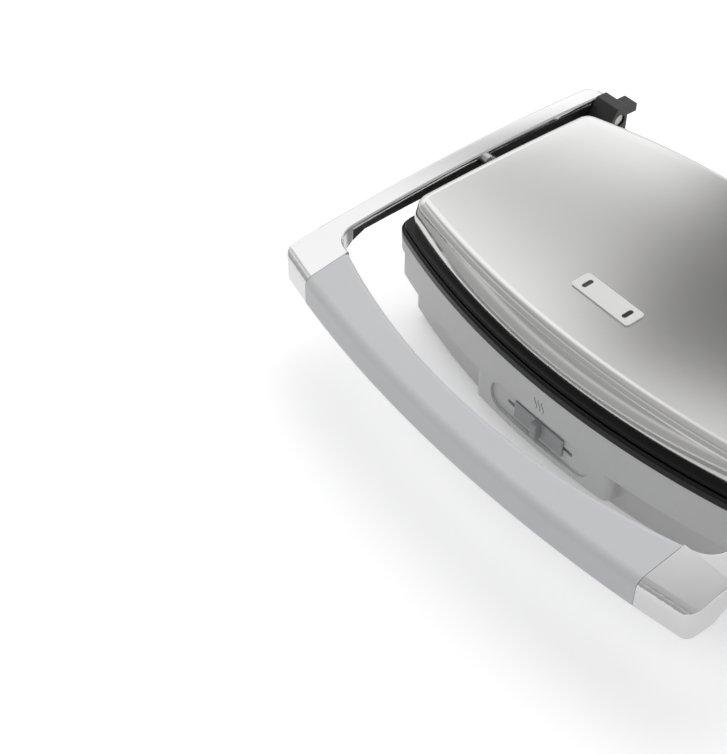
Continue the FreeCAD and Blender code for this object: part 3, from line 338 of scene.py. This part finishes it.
def round_arm(node):
    """Copy of an arm's solid with its upper edges rounded, shown in place of it."""
    form = bmesh.new()
    form.from_mesh(frame["nodes"][node].data)
    bmesh.ops.remove_doubles(form, verts=form.verts, dist=WELD)
    bmesh.ops.dissolve_limit(form, angle_limit=FLAT_ANGLE, verts=form.verts, edges=form.edges)
    weight = form.edges.layers.float.new("bevel_weight_edge")
    for edge in form.edges:
        edge[weight] = edge_share(edge)
    piece = new_piece(node + "_metal", new_mesh(node + "_sharp", form))
    bevel = piece.modifiers.new("round", "BEVEL")
    bevel.limit_method = "WEIGHT"
    bevel.width = OUTER_ROUND
    bevel.segments = ROUND_STEPS
    bevel.use_clamp_overlap = False
    settle(piece)
    stand_in(piece, node, "handle", "arm_metal")


# Lid sheet on the sizes of its solid: plan shapes, heights, dome, and holes for the pivot pins
Plan = namedtuple("Plan", "half front front_bow back back_bow corner")
LID_PLAN = Plan(half=0.1545, front=-0.0649, front_bow=0.742, back=0.1319, back_bow=0.475, corner=0.012)
FOOT_PLAN = Plan(half=0.1557, front=-0.072, front_bow=0.545, back=0.1331, back_bow=0.4762, corner=0.012)
LID_MIDDLE = 0.0335
CREASE_Z = 0.0941
NECK_Z = 0.0935
FOOT_Z = 0.079
CREASE_STEP = 0.0008
ROLL_RADIUS = 0.008
SHEET = 0.001
DOME_TOP = 0.1067
DOME_Y = 0.11
DOME_RADIUS = 2.0
PIVOT_Y = 0.027
PIVOT_Z = 0.089
PIN_ROOM = 0.0037
PIN_ROOM_LENGTH = 3 * LID_PLAN.half
# How early the wall turns upright, and how finely each stretch is divided
WALL_TURN = 2.6
WALL_STEPS = 16
ROLL_STEPS = 8
TOP_STEPS = 12
BOW_STEPS = 36
CORNER_STEPS = 12
SIDE_STEPS = 24
PIN_SIDES = 48


def inset(plan, step):
    """Plan shape with all its edges moved inwards by step."""
    return Plan(plan.half - step, plan.front + step, plan.front_bow - step,
                plan.back - step, plan.back_bow - step, plan.corner - step)


def between(first, second, share):
    """Plan shape a share of the way from the first to the second."""
    return Plan(*(a + (b - a) * share for a, b in zip(first, second)))


def outline(plan):
    """Points around a plan shape: bowed front, corner, straight side, corner, bowed back, and so on."""
    half, front, front_bow, back, back_bow, corner = plan
    near = math.asin((half - corner) / (front_bow - corner))
    far = math.asin((half - corner) / (back_bow - corner))
    near_y = front + front_bow - (front_bow - corner) * math.cos(near)
    far_y = back - back_bow + (back_bow - corner) * math.cos(far)
    right = []
    for i in range(BOW_STEPS):
        turn = near * i / BOW_STEPS
        right.append((front_bow * math.sin(turn), front + front_bow - front_bow * math.cos(turn)))
    for i in range(CORNER_STEPS):
        turn = (near - math.pi / 2) * (1 - i / CORNER_STEPS)
        right.append((half - corner + corner * math.cos(turn), near_y + corner * math.sin(turn)))
    for i in range(SIDE_STEPS):
        right.append((half, near_y + (far_y - near_y) * i / SIDE_STEPS))
    for i in range(CORNER_STEPS):
        turn = (math.pi / 2 - far) * i / CORNER_STEPS
        right.append((half - corner + corner * math.cos(turn), far_y + corner * math.sin(turn)))
    for i in range(BOW_STEPS + 1):
        turn = far * (1 - i / BOW_STEPS)
        right.append((back_bow * math.sin(turn), back - back_bow + back_bow * math.cos(turn)))
    return right + [(-x, y) for x, y in reversed(right[1:-1])]


def dome(y):
    """Height of the lid's top, which bows from front to back."""
    return DOME_TOP - DOME_RADIUS + math.sqrt(DOME_RADIUS ** 2 - (y - DOME_Y) ** 2)


def level_ring(plan, z):
    return [(x, y, z) for x, y in outline(plan)]


def roll_rings():
    """Rolled edge from the crease up to the lid's top."""
    inner = outline(inset(LID_PLAN, ROLL_RADIUS))
    outer = outline(LID_PLAN)
    rings = []
    for k in range(ROLL_STEPS + 1):
        ring = []
        for (x, y), (u, v) in zip(outer, inner):
            centre = dome(v) - ROLL_RADIUS
            start = math.asin(max(0.0, (CREASE_Z - centre) / ROLL_RADIUS))
            turn = start + (math.pi / 2 - start) * k / ROLL_STEPS
            share = 1 - math.cos(turn)
            height = CREASE_Z if k == 0 else max(CREASE_Z, centre + ROLL_RADIUS * math.sin(turn))
            ring.append((x + (u - x) * share, y + (v - y) * share, height))
        rings.append(ring)
    return rings


def top_rings(drop):
    """Domed top inside the rolled edge, lowered by drop, from its edge to near its middle."""
    edge = outline(inset(LID_PLAN, ROLL_RADIUS))
    rings = []
    for k in range(TOP_STEPS):
        scale = 1 - k / TOP_STEPS
        ring = []
        for x, y in edge:
            v = LID_MIDDLE + (y - LID_MIDDLE) * scale
            ring.append((x * scale, v, dome(v) - drop))
        rings.append(ring)
    return rings


def wall_rings(step):
    """Flared wall, moved inwards by step, from the neck below the crease down to its upright foot."""
    neck = inset(LID_PLAN, CREASE_STEP + step)
    foot = inset(FOOT_PLAN, step)
    rings = []
    for k in range(WALL_STEPS + 1):
        depth = k / WALL_STEPS
        plan = between(neck, foot, 1 - (1 - depth) ** WALL_TURN)
        rings.append(level_ring(plan, NECK_Z + (FOOT_Z - NECK_Z) * depth))
    return rings


def lid_rings():
    """Rings over the sheet: outer top, rolled edge, crease and wall, then back up the inner side."""
    neck = inset(LID_PLAN, CREASE_STEP)
    outer = top_rings(0.0)[:0:-1] + roll_rings()[::-1] + [level_ring(neck, CREASE_Z)] + wall_rings(0.0)
    inner = wall_rings(SHEET)[::-1] + [level_ring(inset(neck, SHEET), CREASE_Z)] + top_rings(SHEET)
    return outer + inner


def lid_form():
    """Closed form over the lid's rings, with a point in the middle of its outer and its inner top."""
    form = bmesh.new()
    rows = [[form.verts.new(point) for point in ring] for ring in lid_rings()]
    for first, second in zip(rows, rows[1:]):
        for i in range(len(first)):
            j = (i + 1) % len(first)
            form.faces.new((first[i], first[j], second[j], second[i]))
    for row, drop in ((rows[0], 0.0), (rows[-1], SHEET)):
        middle = form.verts.new((0.0, LID_MIDDLE, dome(LID_MIDDLE) - drop))
        for i in range(len(row)):
            form.faces.new((row[i], row[(i + 1) % len(row)], middle))
    bmesh.ops.recalc_face_normals(form, faces=form.faces)
    return form


def pin_room():
    """Rod across the whole lid, for the holes that the pivot pins pass through."""
    place = Matrix.Translation((0.0, PIVOT_Y, PIVOT_Z))
    turn = Matrix.Rotation(math.pi / 2, 4, "Y")
    form = bmesh.new()
    bmesh.ops.create_cone(form, cap_ends=True, segments=PIN_SIDES, radius1=PIN_ROOM, radius2=PIN_ROOM,
                          depth=PIN_ROOM_LENGTH, matrix=place @ turn)
    return new_piece("pin_room", new_mesh("pin_room", form))


def pressed_lid():
    """Lid sheet with a domed top, a rolled edge, a crease and a wall that turns smoothly to its foot."""
    piece = new_piece("lid_cover_sheet", new_mesh("lid_cover_sheet", lid_form()))
    room = pin_room()
    cut = piece.modifiers.new("pin_holes", "BOOLEAN")
    cut.operation = "DIFFERENCE"
    cut.solver = "EXACT"
    cut.object = room
    settle(piece)
    bpy.data.objects.remove(room)
    stand_in(piece, "lid_cover", "lid", "lid_steel")


# Heat sign above the slider: three wavy strokes on the housing's bowed front
WAVE_PLACES = (0.0062, 0.0092, 0.0122)
WAVE_LOW = 0.0492
WAVE_HEIGHT = 0.0086
WAVE_SWAY = 0.0009
WAVE_LEAN = 0.0012
WAVE_WIDTH = 0.00075
WAVE_TAPER = 0.35
WAVE_STEPS = 24
MARK_PROUD = 0.0001
MARK_SUNK = 0.0002
SKIRT_FRONT = -0.0775
SKIRT_BOW = 0.5415


def skirt_front(x):
    """Y station of the housing's bowed front."""
    return SKIRT_FRONT + SKIRT_BOW - math.sqrt(SKIRT_BOW ** 2 - x * x)


def wave(place):
    """Points (x, z) along one wavy stroke."""
    line = []
    for i in range(WAVE_STEPS):
        share = i / (WAVE_STEPS - 1)
        x = place + WAVE_SWAY * math.sin(2 * math.pi * share) - WAVE_LEAN * (share - 0.5)
        line.append((x, WAVE_LOW + WAVE_HEIGHT * share))
    return line


def ribbon(name, line):
    """Thin raised stroke on the housing's front along (x, z) points, narrower at its ends."""
    form = bmesh.new()
    sections = []
    for i, (x, z) in enumerate(line):
        ahead = line[min(i + 1, len(line) - 1)]
        behind = line[max(i - 1, 0)]
        along = Vector((ahead[0] - behind[0], ahead[1] - behind[1])).normalized()
        fullness = math.sqrt(math.sin(math.pi * (i + 0.5) / len(line)))
        half = WAVE_WIDTH / 2 * (WAVE_TAPER + (1 - WAVE_TAPER) * fullness)
        around = ((-half, -MARK_PROUD), (half, -MARK_PROUD), (half, MARK_SUNK), (-half, MARK_SUNK))
        section = []
        for side, depth in around:
            u = x - along.y * side
            section.append(form.verts.new((u, skirt_front(u) + depth, z + along.x * side)))
        sections.append(section)
    for first, second in zip(sections, sections[1:]):
        for i in range(len(first)):
            j = (i + 1) % len(first)
            form.faces.new((first[i], first[j], second[j], second[i]))
    form.faces.new(sections[0])
    form.faces.new(sections[-1])
    bmesh.ops.recalc_face_normals(form, faces=form.faces)
    piece = new_piece(name, new_mesh(name, form))
    piece.data.materials.append(MARK_GREY)
    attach(piece, "base")


def heat_sign():
    for index, place in enumerate(WAVE_PLACES):
        ribbon("heat_mark_%d" % (index + 1), wave(place))


# Floor: pale near the object and dim far away, where only the camera sees it bright
FLOOR_HALF = 6.0
FLOOR_GLOW = 0.28
FAR_GLOW = 0.7
FLOOR_NEAR = 0.75
FLOOR_FAR = 1.05
FLOOR_PALE = (0.93, 0.93, 0.93)
FLOOR_DIM = (0.26, 0.26, 0.26)
ALL_OR_NOTHING = (0.0, 1.0)


def floor_material():
    material = bpy.data.materials.new("floor_white")
    material.use_nodes = True
    nodes = Nodes(material.node_tree)
    length = nodes.add("ShaderNodeVectorMath", operation="LENGTH")
    nodes.link(nodes.place((1.0, 1.0, 1.0)), length.inputs[0])
    distance = nodes.step(length.outputs["Value"], FLOOR_NEAR, FLOOR_FAR)
    surface = nodes.add("ShaderNodeBsdfDiffuse")
    nodes.link(nodes.tint(distance, FLOOR_PALE, FLOOR_DIM), surface.inputs["Color"])
    rays = nodes.add("ShaderNodeLightPath").outputs
    seen = nodes.combine("MAXIMUM", rays["Is Camera Ray"], rays["Is Glossy Ray"],
                         rays["Is Transmission Ray"])
    far = nodes.combine("MULTIPLY", distance, rays["Is Camera Ray"])
    total = nodes.combine("ADD", nodes.spread(seen, 0.0, FLOOR_GLOW, ALL_OR_NOTHING),
                          nodes.spread(far, 0.0, FAR_GLOW, ALL_OR_NOTHING))
    glow = nodes.add("ShaderNodeEmission")
    nodes.link(total, glow.inputs["Strength"])
    both = nodes.add("ShaderNodeAddShader")
    nodes.link(surface.outputs["BSDF"], both.inputs[0])
    nodes.link(glow.outputs["Emission"], both.inputs[1])
    output = nodes.add("ShaderNodeOutputMaterial")
    nodes.link(both.outputs["Shader"], output.inputs["Surface"])
    return material


def make_floor():
    corners = [(-FLOOR_HALF, -FLOOR_HALF, 0), (FLOOR_HALF, -FLOOR_HALF, 0),
               (FLOOR_HALF, FLOOR_HALF, 0), (-FLOOR_HALF, FLOOR_HALF, 0)]
    data = bpy.data.meshes.new("floor")
    data.from_pydata(corners, [], [(0, 1, 2, 3)])
    data.materials.append(floor_material())
    new_piece("floor", data)


# Studio light: brightness by height, most from behind and left, with a soft box and a dark gap
SKY_STRENGTH = 1.7
SKY_LEVELS = ((0.0, 0.85), (0.42, 0.97), (0.5, 1.25), (0.545, 1.25), (0.575, 1.12), (0.602, 0.8),
              (0.63, 0.58), (0.665, 0.6), (0.70, 0.72), (0.74, 0.78), (0.80, 0.86), (1.0, 0.92))
REAR_WAY = (-0.75, 0.66, 0.0)
REAR_RISE = (0.2, 0.6)
REAR_GAIN = (0.7, 1.34)
BOX_WAY = (-0.6209, 0.1664, 0.7660)
BOX_INNER = math.cos(math.radians(8.0))
BOX_OUTER = math.cos(math.radians(20.0))
BOX_LEVEL = 1.1
# Edges of the gap and of the darker front: where each one begins and is complete, along a direction's axis
GAP_LEVEL = 0.2
GAP_LEFT = (-0.525, -0.465)
GAP_RIGHT = (-0.1, -0.25)
GAP_BEHIND = (0.0, 0.1)
GAP_LOW = (0.3, 0.45)
GAP_HIGH = (0.79, 0.735)
FRONT_LEVEL = 0.52
FRONT_AHEAD = (-0.2, -0.8)
FRONT_BELOW = (0.6, 0.3)
# Key lamp above and behind on the left
KEY_PLACE = Vector((-0.7, 0.9, 1.5))
KEY_TARGET = Vector((0.0, 0.0, 0.05))
KEY_SIZE = 1.4
KEY_POWER = 9.0


def height_level(nodes, z):
    """Brightness of the sky by height alone."""
    ramp = nodes.add("ShaderNodeValToRGB")
    stops = ramp.color_ramp.elements
    while len(stops) < len(SKY_LEVELS):
        stops.new(1.0)
    for stop, (height, level) in zip(stops, SKY_LEVELS):
        stop.position = height
        stop.color = (level / SKY_STRENGTH,) * 3 + (1.0,)
    nodes.link(z, ramp.inputs["Fac"])
    grey = nodes.add("ShaderNodeRGBToBW")
    nodes.link(ramp.outputs["Color"], grey.inputs["Color"])
    return grey.outputs["Val"]


def studio_light(nodes):
    """Background shader that lights the object and shows in its metal."""
    way = nodes.add("ShaderNodeTexCoord").outputs["Generated"]
    split = nodes.add("ShaderNodeSeparateXYZ")
    nodes.link(way, split.inputs["Vector"])
    x, y, z = (split.outputs[axis] for axis in "XYZ")
    box_share = nodes.step(nodes.facing(way, BOX_WAY), BOX_OUTER, BOX_INNER)
    sky = nodes.towards(height_level(nodes, z), BOX_LEVEL / SKY_STRENGTH, box_share)
    gain = nodes.spread(nodes.facing(way, REAR_WAY), *REAR_GAIN, REAR_RISE, "SMOOTHSTEP")
    sky = nodes.combine("MULTIPLY", sky, gain)
    gap_share = nodes.combine("MULTIPLY", nodes.step(x, *GAP_LEFT), nodes.step(x, *GAP_RIGHT),
                              nodes.step(z, *GAP_LOW), nodes.step(z, *GAP_HIGH), nodes.step(y, *GAP_BEHIND))
    sky = nodes.towards(sky, GAP_LEVEL / SKY_STRENGTH, gap_share)
    front_share = nodes.combine("MULTIPLY", nodes.step(y, *FRONT_AHEAD), nodes.step(z, *FRONT_BELOW))
    sky = nodes.towards(sky, FRONT_LEVEL / SKY_STRENGTH, front_share)
    light = nodes.add("ShaderNodeBackground")
    light.inputs["Strength"].default_value = SKY_STRENGTH
    nodes.link(sky, light.inputs["Color"])
    return light.outputs["Background"]


def make_world():
    """Studio light for the object, and plain white for the camera."""
    world = bpy.data.worlds.new("studio")
    bpy.context.scene.world = world
    world.use_nodes = True
    nodes = Nodes(world.node_tree)
    white = nodes.add("ShaderNodeBackground")
    white.inputs["Color"].default_value = (1.0, 1.0, 1.0, 1.0)
    path = nodes.add("ShaderNodeLightPath")
    mix = nodes.add("ShaderNodeMixShader")
    nodes.link(path.outputs["Is Camera Ray"], mix.inputs["Fac"])
    nodes.link(studio_light(nodes), mix.inputs[1])
    nodes.link(white.outputs["Background"], mix.inputs[2])
    output = nodes.add("ShaderNodeOutputWorld")
    nodes.link(mix.outputs["Shader"], output.inputs["Surface"])


def make_key():
    data = bpy.data.lights.new("key", "AREA")
    data.shape = "SQUARE"
    data.size = KEY_SIZE
    data.energy = KEY_POWER
    lamp = new_piece("key", data)
    aim(lamp, KEY_PLACE, KEY_TARGET - KEY_PLACE)
    lamp.visible_glossy = False


dress_nodes()
pressed_lid()
round_arm("arm_cover_left")
round_arm("arm_cover_right")
heat_sign()
make_floor()
make_world()
make_key()
make_camera()

bpy.context.scene.view_settings.view_transform = "Standard"
